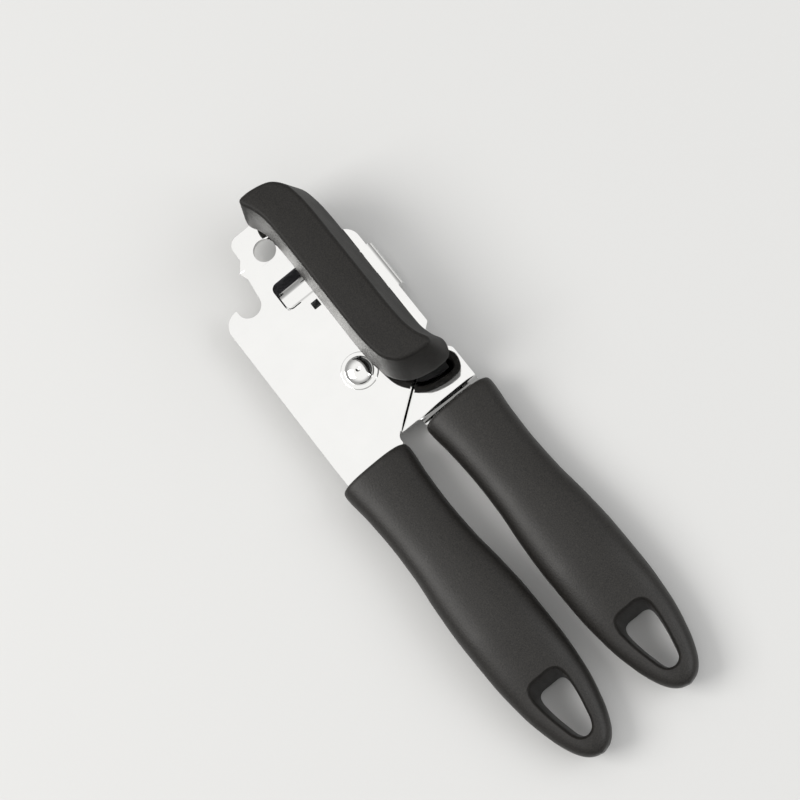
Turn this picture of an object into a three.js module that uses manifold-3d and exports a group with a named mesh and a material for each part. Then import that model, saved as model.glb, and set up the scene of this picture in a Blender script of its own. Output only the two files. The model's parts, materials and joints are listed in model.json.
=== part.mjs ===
// Manual can opener: two steel plates that turn on one rivet, a grip on each tang,
// a cutting wheel on the rear plate, and a crank with a toothed feed wheel in the front plate.
//
// Millimetres, +Z towards the knob, +Y from the grips to the head. The object lies on z = 0.

import * as THREE from "three";
import { mergeVertices } from "three/addons/utils/BufferGeometryUtils.js";
import Module from "manifold-3d";

const wasm = await Module();
wasm.setup();

// ---------------------------------------------------------------- driving dimensions

const PIVOT = { x: -2.31, y: 38.16 }; // axis of the rivet, in the object's own frame
const CRANK = { x: 14.2, y: 24 }; // crank axis, measured from the rivet
const CUTTER = { x: -0.3, y: 22.3 }; // cutting wheel's axis, measured from the rivet

const SHEET = 1.6; // thickness of both plates
const FRONT_Z = 8.9; // rear face of the front plate's head
const REAR_Z = 5.8; // rear face of the rear plate's head
const TANG_Z = 7.7; // rear face of both tangs
const FIT = 0.3; // gap between a piece and the one that it is fitted in
const FACE_GAP = 0.1; // gap between faces that rest on each other

const GRIP = {
  start: -28, // y of the collar
  length: 113.9,
  leftX: -15.6,
  rightX: 18.0,
  midZ: 8.5,
  squareness: 2.7, // exponent of the superellipse that each section follows
  wall: 2.2,
  lip: 1.8, // length of the collar's rounded edge
  lean: 1.1, // degrees that both grips turn from the plates' long edge
  insertLength: 80,
};
const TANG = {
  halfWidth: 8,
  end: -80,
  shoulder: -27.5,
  holeRadius: 2.7,
  posts: [-45, -65], // y of the insert's posts, which pass through the tang's holes
  postRadius: 2.3,
};

const KNOB = { baseZ: 17.4, topZ: 34.4, flare: 3.35, edge: 0.9, wall: 2.4, roof: 2.6 };
const SHAFT = { threadRadius: 2.2, journalRadius: 3.0, collarRadius: 5.0, headRadius: 3.4, flat: 2.5 };
const PIN = { z: 24, radius: 1.1, halfLength: 4.6 };

const FEED = { radius: 7.0, root: 6.2, teeth: 22, z0: 3.1, z1: 5.4 };
const BLADE = { radius: 9.0, flat: 7.2, bore: 2.4, z0: 1.3, z1: 2.7 };

const ROUND = 28; // sides of a turned piece

// ---------------------------------------------------------------- finishes

const finish = (color, roughness, metalness) =>
  new THREE.MeshStandardMaterial({ color, roughness, metalness });

const polishedSteel = finish(0xd9dadb, 0.12, 1.0);
const zincSteel = finish(0xb9bcbe, 0.35, 1.0);
const hardenedSteel = finish(0x9a9ea2, 0.3, 1.0);
const softBlack = finish(0x3b3a38, 0.75, 0.0);
const hardBlack = finish(0x222223, 0.5, 0.0);

// ---------------------------------------------------------------- shape helpers

/** Twice the signed area is positive where the loop runs anticlockwise. */
function isAnticlockwise(loop) {
  return THREE.ShapeUtils.area(loop) > 0;
}

/** A Shape through corners [x, y, radius], each corner rounded with an arc of its radius. */
function rounded(corners) {
  const shape = new THREE.Shape();
  const count = corners.length;
  corners.forEach(([x, y, radius], index) => {
    const corner = new THREE.Vector2(x, y);
    const before = new THREE.Vector2(...corners[(index + count - 1) % count]).sub(corner).normalize();
    const after = new THREE.Vector2(...corners[(index + 1) % count]).sub(corner).normalize();
    const half = Math.acos(THREE.MathUtils.clamp(before.dot(after), -1, 1)) / 2;
    const reach = radius / Math.tan(half);
    const first = corner.clone().addScaledVector(before, reach);
    const last = corner.clone().addScaledVector(after, reach);
    if (index === 0) shape.moveTo(first.x, first.y);
    else shape.lineTo(first.x, first.y);
    if (radius === 0) return;
    const middle = before.clone().add(after).normalize();
    const centre = corner.clone().addScaledVector(middle, radius / Math.sin(half));
    const start = Math.atan2(first.y - centre.y, first.x - centre.x);
    const end = Math.atan2(last.y - centre.y, last.x - centre.x);
    shape.absarc(centre.x, centre.y, radius, start, end, before.cross(after) > 0);
  });
  shape.closePath();
  return shape;
}

/** A flat slab with the given outline, from z0 to z1. */
function slab(shape, z0, z1, curveSegments = 3) {
  const settings = { depth: z1 - z0, bevelEnabled: false, curveSegments };
  return new THREE.ExtrudeGeometry(shape, settings).translate(0, 0, z0);
}

/** A box given by its lowest and highest corners. */
function block(low, high) {
  const size = high.map((value, axis) => value - low[axis]);
  const middle = high.map((value, axis) => (value + low[axis]) / 2);
  return new THREE.BoxGeometry(...size).translate(...middle);
}

/** A solid turned about the Z axis from a profile of [radius, z] points. */
function turned(profile, sides = ROUND) {
  const points = profile.map(([radius, z]) => new THREE.Vector2(radius, z));
  return new THREE.LatheGeometry(points, sides).rotateX(Math.PI / 2);
}

/** A plain cylinder along Z, for bores and posts. */
function rod(radius, z0, z1, sides = ROUND) {
  return turned([[0, z0], [radius, z0], [radius, z1], [0, z1]], sides);
}

/** A ring about Z with a square-cornered section. */
function ring(inner, outer, z0, z1, sides = ROUND) {
  return turned([[inner, z0], [outer, z0], [outer, z1], [inner, z1], [inner, z0]], sides);
}

/** A closed skin through equal loops of points, capped at both ends. */
function loft(loops, flatten) {
  const count = loops[0].length;
  const positions = loops.flat().flatMap((point) => [point.x, point.y, point.z]);
  const index = [];
  for (let row = 0; row + 1 < loops.length; row += 1) {
    for (let column = 0; column < count; column += 1) {
      const next = (column + 1) % count;
      const a = row * count + column;
      const b = row * count + next;
      index.push(a, b, b + count, a, b + count, a + count);
    }
  }
  for (const row of [0, loops.length - 1]) {
    const contour = loops[row].map(flatten);
    const loopTurn = isAnticlockwise(contour);
    for (const face of THREE.ShapeUtils.triangulateShape(contour, [])) {
      const corners = face.map((corner) => row * count + corner);
      const faceTurn = isAnticlockwise(face.map((corner) => contour[corner]));
      if ((faceTurn === loopTurn) !== row > 0) corners.reverse();
      index.push(...corners);
    }
  }
  const geometry = new THREE.BufferGeometry();
  geometry.setAttribute("position", new THREE.Float32BufferAttribute(positions, 3));
  geometry.setIndex(index);
  return geometry;
}

/** Six times the volume that a closed mesh holds, negative when its faces point in. */
function signedVolume(geometry) {
  const place = geometry.getAttribute("position");
  const order = geometry.getIndex();
  const a = new THREE.Vector3();
  const b = new THREE.Vector3();
  const c = new THREE.Vector3();
  let total = 0;
  for (let index = 0; index < order.count; index += 3) {
    a.fromBufferAttribute(place, order.getX(index));
    b.fromBufferAttribute(place, order.getX(index + 1));
    c.fromBufferAttribute(place, order.getX(index + 2));
    total += a.dot(b.cross(c));
  }
  return total;
}

/** The same mesh with shared vertices, no empty triangles and its faces pointing out. */
function welded(source) {
  const geometry = source.clone();
  geometry.deleteAttribute("normal");
  geometry.deleteAttribute("uv");
  const merged = mergeVertices(geometry, 1e-4);
  const order = merged.getIndex().array;
  const index = [];
  for (let start = 0; start < order.length; start += 3) {
    const [a, b, c] = order.slice(start, start + 3);
    if (a !== b && b !== c && c !== a) index.push(a, b, c);
  }
  merged.setIndex(index);
  if (signedVolume(merged) < 0) merged.setIndex(index.reverse());
  return merged;
}

/** A manifold solid from a closed mesh. */
function solid(source) {
  const geometry = welded(source);
  const mesh = new wasm.Mesh({
    numProp: 3,
    vertProperties: new Float32Array(geometry.getAttribute("position").array),
    triVerts: new Uint32Array(geometry.getIndex().array),
  });
  return new wasm.Manifold(mesh);
}

/** A mesh geometry from a manifold solid. */
function surface(body) {
  const { numProp, vertProperties, triVerts } = body.getMesh();
  const geometry = new THREE.BufferGeometry();
  geometry.setAttribute("position", new THREE.Float32BufferAttribute(vertProperties, numProp));
  geometry.setIndex(Array.from(triVerts));
  return geometry;
}

/** The first geometry joined with the others. */
function joined(first, ...others) {
  return surface(others.reduce((body, other) => body.add(solid(other)), solid(first)));
}

/** The first geometry with the others cut away. */
function cut(first, ...others) {
  return surface(others.reduce((body, other) => body.subtract(solid(other)), solid(first)));
}

/** What two geometries have in common. */
function shared(first, second) {
  return surface(solid(first).intersect(solid(second)));
}

/** Adds one named piece to a group. */
function add(group, name, geometry, material) {
  const mesh = new THREE.Mesh(welded(geometry), material);
  mesh.name = name;
  group.add(mesh);
}

// ---------------------------------------------------------------- pressed plates

/** A sheet bent along X: its rear face follows [y, z] points, and it is SHEET thick. */
function bentSheet(rearLine, reach = 60) {
  const front = rearLine.map(([y, z]) => [y, z + SHEET]).reverse();
  const outline = [...rearLine, ...front].map(([y, z]) => new THREE.Vector2(y, z));
  const settings = { depth: 2 * reach, bevelEnabled: false };
  const bar = new THREE.ExtrudeGeometry(new THREE.Shape(outline), settings);
  // The outline's x and y become the object's y and z, and the bar runs along X.
  return bar.rotateX(Math.PI / 2).rotateZ(Math.PI / 2).translate(-reach, 0, 0);
}

/** A plate: a bent sheet trimmed to an outline, seen from the front. */
function pressed(corners, rearLine) {
  return shared(bentSheet(rearLine), slab(rounded(corners), -5, 25));
}

/** A corner of a tang, leaned with the grip that it runs into. */
function leaned(centre, [x, y, radius]) {
  const place = new THREE.Vector2(x, y);
  place.rotateAround(new THREE.Vector2(centre, GRIP.start), THREE.MathUtils.degToRad(GRIP.lean));
  return [place.x, place.y, radius];
}

/** The four corners of the tang inside a grip, from the shoulder on its left to that on its right. */
function tangCorners(centre) {
  const { halfWidth, end, shoulder } = TANG;
  return [[-halfWidth, shoulder, 0], [-halfWidth, end, 4], [halfWidth, end, 4], [halfWidth, shoulder, 0]].map(
    ([x, y, radius]) => leaned(centre, [centre + x, y, radius]));
}

const TONGUE = { x0: -6.4, x1: 9, foot: 30.5, crest: 35, tip: 38.0, top: 41.2, slit: 0.5 };
const FLANGE = { y0: 14.5, y1: 31.8, bend: 2.4, outerX: 28.7, footZ: 4.6 };
const WEB_HOLE = { x: 2.2, y: 26.9, half: 1.35 };
const SIGHT_HOLE = { x: 2.4, y: 27.8, radius: 1.9 }; // in the rear plate, behind the square hole
const LEAD = { start: 33, knee: 38.5, kneeDrop: 0.9, end: 44.5, drop: 2.1 }; // the lobe's bent-back tip
const HEAD_HOLE = { x: -0.2, y: 52.5, radius: 3.9 };

function upperPlate() {
  const outline = [
    ...tangCorners(GRIP.leftX), [-3.3, TANG.shoulder, 0.6],
    [-3.3, -25, 2.5], [0.5, -21.9, 3], [24.5, -3.2, 1], [26.9, -1.2, 1],
    [26.9, 41.3, 6], [15.5, 42.6, 5], [9.2, 52, 8], [9.2, 62.6, 3.5],
    [-8.5, 62.6, 3.5], [-8.5, 55.2, 1.2], [-11.3, 51.6, 0.6], [-10.3, 48.3, 0.8],
    [-11.6, 36.9, 4.1], [-19.9, 36.9, 4.1], [-19.7, 42.2, 0.3], [-25.8, 42.2, 5.6],
    [-25.6, TANG.shoulder, 0.6],
  ];
  const rearLine = [
    [TANG.end - 5, TANG_Z], [-24.5, TANG_Z], [-21.2, FRONT_Z], [70, FRONT_Z],
  ];
  const window = [
    [TONGUE.x0, TONGUE.foot, 1.8], [TONGUE.x1, TONGUE.foot, 1.8],
    [TONGUE.x1, TONGUE.top, 1.5], [TONGUE.x0 + 2.6, TONGUE.top, 1.2],
    [TONGUE.x0, TONGUE.top - 2.4, 1.2],
  ];
  const tonguePlan = [
    [TONGUE.x0 + TONGUE.slit, TONGUE.foot - 1, 0], [TONGUE.x1 - TONGUE.slit, TONGUE.foot - 1, 0],
    [TONGUE.x1 - TONGUE.slit, TONGUE.tip, 1], [TONGUE.x0 + TONGUE.slit, TONGUE.tip, 1],
  ];
  const tongueLine = [
    [TONGUE.foot - 2, FRONT_Z], [TONGUE.foot, FRONT_Z], [TONGUE.foot + 0.8, FRONT_Z - 0.25],
    [TONGUE.crest, FRONT_Z - 0.25], [TONGUE.crest + 1.5, FRONT_Z - 0.6], [TONGUE.tip + 1, FRONT_Z - 1.9],
  ];
  const flat = cut(
    pressed(outline, rearLine),
    rod(3.0, -1, 20),
    rod(HEAD_HOLE.radius, -1, 20).translate(HEAD_HOLE.x, HEAD_HOLE.y, 0),
    rod(4.8, -1, 20).translate(CRANK.x, CRANK.y, 0),
    slab(rounded(window), -1, 20, 2),
    block(
      [WEB_HOLE.x - WEB_HOLE.half, WEB_HOLE.y - WEB_HOLE.half, -1],
      [WEB_HOLE.x + WEB_HOLE.half, WEB_HOLE.y + WEB_HOLE.half, 20],
    ),
    ...tangHoles(GRIP.leftX),
  );
  const tongue = shared(bentSheet(tongueLine), slab(rounded(tonguePlan), -5, 25, 2));
  return joined(flat, tongue, sideFlange());
}

/** The flange that is folded back along the right edge of the front plate. */
function sideFlange() {
  const frontZ = FRONT_Z + SHEET;
  const bendX = FLANGE.outerX - FLANGE.bend;
  const bendZ = frontZ - FLANGE.bend;
  const section = new THREE.Shape();
  section.moveTo(bendX - 1.5, frontZ);
  section.lineTo(bendX - 1.5, FRONT_Z);
  section.lineTo(bendX, FRONT_Z);
  section.absarc(bendX, bendZ, FLANGE.bend - SHEET, Math.PI / 2, 0, true);
  section.lineTo(FLANGE.outerX - SHEET, FLANGE.footZ);
  section.lineTo(FLANGE.outerX, FLANGE.footZ);
  section.lineTo(FLANGE.outerX, bendZ);
  section.absarc(bendX, bendZ, FLANGE.bend, 0, Math.PI / 2, false);
  section.closePath();
  const settings = { depth: FLANGE.y1 - FLANGE.y0, bevelEnabled: false, curveSegments: 3 };
  const bar = new THREE.ExtrudeGeometry(section, settings);
  return bar.rotateX(Math.PI / 2).translate(0, FLANGE.y1, 0);
}

function lowerPlate() {
  const outline = [
    ...tangCorners(GRIP.rightX), [28, TANG.shoulder, 0.6],
    [28, -12, 2.5], [20.5, -5.5, 4], [13, 3, 8], [7.4, 13, 6], [7.4, 36, 6], [5.5, 44.2, 3],
    [-7.5, 44.2, 3], [-9, 30, 6], [-9.5, 14, 6], [-15, 0, 12], [-11, -16, 8],
    [-2, -23.9, 3], [5.8, -23.9, 1.5], [5.8, TANG.shoulder, 0.6],
  ];
  const rearLine = [
    [TANG.end - 5, TANG_Z], [-27.2, TANG_Z], [-23.9, REAR_Z], [LEAD.start, REAR_Z],
    [LEAD.knee, REAR_Z - LEAD.kneeDrop], [LEAD.end, REAR_Z - LEAD.drop],
  ];
  return cut(
    pressed(outline, rearLine),
    rod(3.0, -1, 20),
    rod(2.4, -1, 20, 24).translate(CUTTER.x, CUTTER.y, 0),
    rod(SIGHT_HOLE.radius, -1, 20, 20).translate(SIGHT_HOLE.x, SIGHT_HOLE.y, 0),
    ...tangHoles(GRIP.rightX),
  );
}

/** The holes in a tang that the posts of its grip insert pass through. */
function tangHoles(x) {
  return TANG.posts.map((y) => rod(TANG.holeRadius, -1, 20, 16).translate(...leaned(x, [x, y, 0])));
}

// ---------------------------------------------------------------- grips

const GRIP_SIDE = [
  [0, 11.8], [0.5, 12.6], [1.8, 12.9], [12, 12], [24, 11.55], [36, 11.9], [48, 13],
  [62, 13.7], [76, 13.6], [90, 12.5], [101, 10.2], [108, 7.6], [111.6, 5.2], [113.4, 2.7], [113.9, 0.7],
];
const GRIP_DEPTH = [
  [0, 7.1], [1.8, 7.9], [24, 7.7], [50, 8.6], [64, 8.8], [78, 7.9], [91, 6.4], [102, 5.5],
  [110, 4.9], [113, 3.8], [113.9, 2.6],
];
const HANG_HOLE = { top: -113, end: -135.5, halfTop: 6.7, endRadius: 3.3, draft: 0.7 };

/** A value read from a table of [place, value] points, with straight runs between them. */
function between(table, place) {
  const last = table.findIndex(([at]) => at >= place);
  if (last === 0) return table[0][1];
  const [from, low] = table[last - 1];
  const [to, high] = table[last];
  return THREE.MathUtils.mapLinear(place, from, to, low, high);
}

/** One superellipse section of a grip, at a distance from the collar. */
function gripSection(distance, halfWidth, halfDepth, sides) {
  const power = 2 / GRIP.squareness;
  return Array.from({ length: sides }, (_, index) => {
    const angle = (2 * Math.PI * index) / sides;
    const across = Math.cos(angle);
    const up = Math.sin(angle);
    return new THREE.Vector3(
      halfWidth * Math.sign(across) * Math.abs(across) ** power,
      GRIP.start - distance,
      GRIP.midZ + halfDepth * Math.sign(up) * Math.abs(up) ** power,
    );
  });
}

/** A lofted body that follows the grip's form, drawn in by inset on every side. */
function gripForm(inset, from, to, sides) {
  const side = new THREE.SplineCurve(GRIP_SIDE.map((point) => new THREE.Vector2(...point)));
  // Inside the collar's rounded edge the inner forms keep their full width.
  const lip = inset > 0 ? GRIP.lip : 0;
  const stations = side.getPoints(GRIP_SIDE.length * 2 - 2).filter(
    (point) => point.x > Math.max(from, lip) && point.x < to);
  const end = (place) => new THREE.Vector2(place, between(GRIP_SIDE, Math.max(place, lip)));
  const loops = [end(from), ...stations, end(to)].map((point) => {
    const depth = between(GRIP_DEPTH, Math.max(point.x, lip));
    return gripSection(point.x, point.y - inset, depth - inset, sides);
  });
  return loft(loops, (point) => new THREE.Vector2(point.z, point.x));
}

/** The hang hole's outline, grown by a margin: wide towards the head, narrow at the end. */
function hangOutline(margin) {
  const half = HANG_HOLE.halfTop + margin;
  const tip = HANG_HOLE.endRadius + margin;
  return rounded([
    [-half, HANG_HOLE.top + margin, 3], [-half, -119, 5], [-tip - 0.4, HANG_HOLE.end - margin, tip],
    [tip + 0.4, HANG_HOLE.end - margin, tip], [half, -119, 5], [half, HANG_HOLE.top + margin, 3],
  ]);
}

/** The tool that opens the hang hole: narrowest in the middle of the grip's thickness. */
function hangCutter() {
  // An arc can repeat the point that the line before it ends on, so repeats are dropped.
  const distinct = (point, index, all) => point.distanceTo(all[(index + 1) % all.length]) > 1e-6;
  const loop = (margin, z) =>
    hangOutline(margin).extractPoints(4).shape.filter(distinct).map(
      (point) => new THREE.Vector3(point.x, point.y, z));
  const levels = [[2.2, -1], [HANG_HOLE.draft, 3.4], [0, GRIP.midZ], [HANG_HOLE.draft, 13.6], [2.2, 18]];
  return loft(levels.map(([margin, z]) => loop(margin, z)), (point) => new THREE.Vector2(point.x, point.y));
}

/** A piece made about the grip's own centreline, put in its place and leaned about the collar. */
function placedGrip(geometry, x) {
  const lean = THREE.MathUtils.degToRad(GRIP.lean);
  return geometry.translate(0, -GRIP.start, 0).rotateZ(lean).translate(x, GRIP.start, 0);
}

function gripShell(x) {
  const outer = gripForm(0, 0, GRIP.length, 20);
  const room = gripForm(GRIP.wall, -2, GRIP.insertLength + 0.8, 12);
  const floor = block([-30, -160, -10], [30, 0, 0]);
  return placedGrip(cut(outer, room, hangCutter(), floor), x);
}

function gripInsert(x) {
  const body = gripForm(GRIP.wall + FIT, 0.5, GRIP.insertLength, 12);
  const slot = block(
    [-TANG.halfWidth - FIT, TANG.end - 1, TANG_Z - FIT],
    [TANG.halfWidth + FIT, GRIP.start + 2, TANG_Z + SHEET + FIT],
  );
  const posts = TANG.posts.map((y) =>
    rod(TANG.postRadius, TANG_Z - 1, TANG_Z + SHEET + 1, 12).translate(0, y, 0));
  return placedGrip(joined(cut(body, slot), ...posts), x);
}

// ---------------------------------------------------------------- pivot

function pivotRivet() {
  return turned([
    [0, 4.1], [3.4, 4.1], [4.3, 4.7], [4.3, 5.1], [2.8, 5.1], [2.8, 11.2], [4.8, 11.2],
    [4.7, 11.8], [4.1, 12.5], [3.0, 13.0], [1.2, 13.3], [0.6, 13.1], [0, 13.0],
  ]);
}

// ---------------------------------------------------------------- cutter

function cutterAxle() {
  const screw = turned([
    [0, 0.1], [3.4, 0.1], [3.9, 0.5], [3.9, 0.8], [2.1, 0.8], [2.1, 7.5], [3.2, 7.5], [2.9, 8.2], [0, 8.4],
  ]);
  return cut(screw, block([-6, -0.5, -1], [6, 0.5, 0.55]));
}

function cuttingWheel() {
  return turned([
    [BLADE.bore, BLADE.z0], [BLADE.flat, BLADE.z0], [BLADE.radius, BLADE.z1 - 0.15],
    [BLADE.radius, BLADE.z1], [BLADE.bore, BLADE.z1], [BLADE.bore, BLADE.z0],
  ], 40);
}

// ---------------------------------------------------------------- crank

/** Half of the knob's top outline, from its left side round the lower tip to its right side. */
const KNOB_HALF = [
  [-6.55, 8], [-6.55, -8], [-6.5, -21], [-6, -27.5], [-5, -32], [-3, -35], [-1, -36.6], [3.2, -37.9],
  [7.2, -38.3], [9.6, -37.9], [9.9, -36.6], [8.3, -33], [7.1, -28.5], [6.6, -21],
];

/** The knob's outline at one height, its control points pushed out by grow. */
function knobLoop(grow, z, samples = 56) {
  const controls = [...KNOB_HALF, ...KNOB_HALF.map(([x, y]) => [-x, -y])].map(
    ([x, y]) => new THREE.Vector2(x, y));
  const count = controls.length;
  const pushed = controls.map((point, index) => {
    const along = controls[(index + 1) % count].clone().sub(controls[(index + count - 1) % count]);
    const outward = new THREE.Vector2(along.y, -along.x).normalize();
    const place = point.clone().addScaledVector(outward, grow);
    return new THREE.Vector3(place.x, place.y, z);
  });
  const curve = new THREE.CatmullRomCurve3(pushed, true, "centripetal");
  return curve.getSpacedPoints(samples).slice(0, samples);
}

/** How far the knob's wall stands outside its top outline at a height. */
function knobFlare(z) {
  return (KNOB.flare * (KNOB.topZ - z)) / (KNOB.topZ - KNOB.baseZ);
}

/** A lofted body that follows the knob's wall, drawn in by inset. */
function knobForm(inset, levels) {
  const loops = levels.map(([z, trim]) => knobLoop(knobFlare(z) - inset - trim, z));
  return loft(loops, (point) => new THREE.Vector2(point.x, point.y));
}

function knobCover() {
  const { baseZ, topZ, edge, wall, roof } = KNOB;
  const outer = knobForm(0, [
    [baseZ, 0.5], [baseZ + 0.5, 0], [topZ - edge, 0], [topZ - 0.3 * edge, 0.3 * edge], [topZ, edge],
  ]);
  const room = knobForm(wall, [[baseZ - 1, 0], [baseZ + 1.2, 0], [baseZ + 3.2, 0], [topZ - roof, 0]]);
  return cut(outer, room);
}

function knobInsert() {
  const web = knobForm(KNOB.wall + 4 * FIT, [[KNOB.baseZ + 1.2, 0], [KNOB.baseZ + 3.2, 0]]);
  const boss = turned([
    [0, 13.9], [6.2, 13.9], [6.5, 14.4], [6.5, 20.6], [4.8, 20.6], [4.8, 29.6], [0, 29.6],
  ]);
  const ribs = [-1, 1].map((side) =>
    block([-0.8, side > 0 ? 4 : -31, 20], [0.8, side > 0 ? 31 : -4, 28]));
  const bore = rod(SHAFT.headRadius + FIT, 12, 28.4, 24);
  return cut(joined(web, boss, ...ribs), bore, crossHole(7));
}

/** A hole along X at the height of the cross pin. */
function crossHole(reach) {
  return rod(PIN.radius + 0.2, -reach, reach, 16).rotateY(Math.PI / 2).translate(0, 0, PIN.z);
}

function crankShaft() {
  const { threadRadius, journalRadius, collarRadius, headRadius, flat } = SHAFT;
  const bar = turned([
    [0, 0.4], [threadRadius - 0.4, 0.4], [threadRadius, 0.8], [threadRadius, 5.5], [journalRadius, 5.5],
    [journalRadius, 12.3], [collarRadius, 12.3], [collarRadius, 13.7], [headRadius, 13.7],
    [headRadius, 27.6], [headRadius - 0.5, 28.1], [0, 28.1],
  ], 24);
  const flats = [-1, 1].map((side) =>
    block([side > 0 ? flat : -9, -9, 17.5], [side > 0 ? 9 : -flat, 9, 30]));
  return cut(bar, ...flats, crossHole(8));
}

function crankPin() {
  const { radius, halfLength, z } = PIN;
  const chamfer = 0.3;
  const pin = turned([
    [0, -halfLength], [radius - chamfer, -halfLength], [radius, chamfer - halfLength],
    [radius, halfLength - chamfer], [radius - chamfer, halfLength], [0, halfLength],
  ], 16);
  return pin.rotateY(Math.PI / 2).translate(0, 0, z);
}

function crankBushing() {
  return turned([
    [3.2, 6.0], [5.0, 6.0], [5.0, 8.8], [4.5, 8.8], [4.5, 10.6], [5.3, 10.6], [5.3, 11.0],
    [5.0, 11.2], [3.2, 11.2], [3.2, 6.0],
  ]);
}

function springWasher() {
  return turned([[3.3, 11.9], [5.2, 11.3], [5.2, 11.6], [3.3, 12.2], [3.3, 11.9]]);
}

function feedWheel() {
  const outline = [];
  const pitch = (2 * Math.PI) / FEED.teeth;
  for (let tooth = 0; tooth < FEED.teeth; tooth += 1) {
    const steps = [[-0.32, FEED.root], [-0.1, FEED.radius], [0.1, FEED.radius], [0.32, FEED.root]];
    for (const [share, radius] of steps) {
      const angle = (tooth + share) * pitch;
      outline.push(new THREE.Vector2(radius * Math.cos(angle), radius * Math.sin(angle)));
    }
  }
  const shape = new THREE.Shape(outline);
  shape.holes.push(new THREE.Path().absarc(0, 0, SHAFT.threadRadius + 0.2, 0, 2 * Math.PI, true));
  return slab(shape, FEED.z0, FEED.z1, ROUND / 2);
}

function feedWheelNut() {
  const shape = new THREE.Shape();
  const corner = 4.6;
  for (let side = 0; side < 6; side += 1) {
    const angle = (side * Math.PI) / 3;
    const place = [corner * Math.cos(angle), corner * Math.sin(angle)];
    if (side === 0) shape.moveTo(...place);
    else shape.lineTo(...place);
  }
  shape.closePath();
  shape.holes.push(new THREE.Path().absarc(0, 0, SHAFT.threadRadius + 0.2, 0, 2 * Math.PI, true));
  return slab(shape, 0.2, 2.3, ROUND / 2);
}

// ---------------------------------------------------------------- assembly

const opener = new THREE.Group();

const leftArm = new THREE.Group();
leftArm.position.set(PIVOT.x, PIVOT.y, 0);
add(leftArm, "upper_plate", upperPlate(), polishedSteel);
add(leftArm, "left_grip_shell", gripShell(GRIP.leftX), softBlack);
add(leftArm, "left_grip_insert", gripInsert(GRIP.leftX), hardBlack);
add(leftArm, "pivot_rivet", pivotRivet(), polishedSteel);
add(leftArm, "pivot_front_washer", ring(3.1, 6.2, FRONT_Z + SHEET + FACE_GAP, 11.1), polishedSteel);
add(leftArm, "pivot_mid_washer", ring(3.1, 6.5, REAR_Z + SHEET + FACE_GAP, FRONT_Z - FACE_GAP), zincSteel);
add(leftArm, "pivot_back_washer", ring(3.1, 5.6, 5.2, REAR_Z - FACE_GAP), zincSteel);

const bushing = new THREE.Group();
bushing.position.set(CRANK.x, CRANK.y, 0);
add(bushing, "crank_bushing", crankBushing(), zincSteel);
leftArm.add(bushing);

const crank = new THREE.Group();
crank.position.set(CRANK.x, CRANK.y, 0);
add(crank, "knob_cover", knobCover(), softBlack);
add(crank, "knob_insert", knobInsert(), hardBlack);
add(crank, "crank_shaft", crankShaft(), zincSteel);
add(crank, "crank_pin", crankPin(), hardenedSteel);
add(crank, "crank_spring_washer", springWasher(), zincSteel);
add(crank, "feed_wheel", feedWheel(), hardenedSteel);
add(crank, "feed_wheel_washer", ring(2.4, 4.2, 2.4, 3.0, 24), zincSteel);
add(crank, "feed_wheel_nut", feedWheelNut(), zincSteel);
leftArm.add(crank);

const rightArm = new THREE.Group();
rightArm.position.set(PIVOT.x, PIVOT.y, 0);
add(rightArm, "lower_plate", lowerPlate(), polishedSteel);
add(rightArm, "right_grip_shell", gripShell(GRIP.rightX), softBlack);
add(rightArm, "right_grip_insert", gripInsert(GRIP.rightX), hardBlack);

const cutter = new THREE.Group();
cutter.position.set(CUTTER.x, CUTTER.y, 0);
add(cutter, "cutter_axle", cutterAxle(), zincSteel);
add(cutter, "cutter_spacer", ring(BLADE.bore, 4.2, BLADE.z1 + FACE_GAP, REAR_Z - FACE_GAP, 24), zincSteel);
add(cutter, "cutter_washer", ring(BLADE.bore, 3.9, 0.9, BLADE.z0 - FACE_GAP, 24), zincSteel);
add(cutter, "cutting_wheel", cuttingWheel(), hardenedSteel);
rightArm.add(cutter);

opener.add(leftArm, rightArm);

export default opener;
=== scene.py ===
"""Manual can opener: the visual model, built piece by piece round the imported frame."""

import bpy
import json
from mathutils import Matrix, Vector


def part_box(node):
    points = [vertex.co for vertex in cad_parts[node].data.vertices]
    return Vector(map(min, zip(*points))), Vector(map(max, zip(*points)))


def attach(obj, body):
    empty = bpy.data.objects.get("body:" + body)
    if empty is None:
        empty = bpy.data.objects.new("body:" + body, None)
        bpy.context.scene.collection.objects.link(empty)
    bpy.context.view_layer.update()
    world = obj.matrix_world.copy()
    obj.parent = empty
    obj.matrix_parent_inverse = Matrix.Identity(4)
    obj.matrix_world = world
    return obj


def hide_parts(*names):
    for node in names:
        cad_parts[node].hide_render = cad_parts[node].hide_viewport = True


bl_info = {
    "name": "Manual can opener",
    "version": (1, 0, 0),
    "blender": (4, 5, 0),
    "location": "3D View > Sidebar > Can opener",
    "description": "Builds a can opener's plates, grips, knob and wheels in the packed frame",
    "category": "Add Mesh",
}

import json
import math

import bmesh
import bpy
from mathutils import Matrix, Vector
from mathutils.geometry import tessellate_polygon

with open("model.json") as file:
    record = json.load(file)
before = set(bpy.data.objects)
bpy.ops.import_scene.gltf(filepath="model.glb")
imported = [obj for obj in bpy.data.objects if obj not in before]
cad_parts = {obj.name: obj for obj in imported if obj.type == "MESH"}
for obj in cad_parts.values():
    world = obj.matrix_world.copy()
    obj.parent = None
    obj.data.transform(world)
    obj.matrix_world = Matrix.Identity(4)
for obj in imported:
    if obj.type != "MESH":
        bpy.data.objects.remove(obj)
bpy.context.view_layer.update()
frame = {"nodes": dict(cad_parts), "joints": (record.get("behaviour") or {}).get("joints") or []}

MM = 0.001

# ------------------------------------------------------------------ places, from the frame

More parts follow.
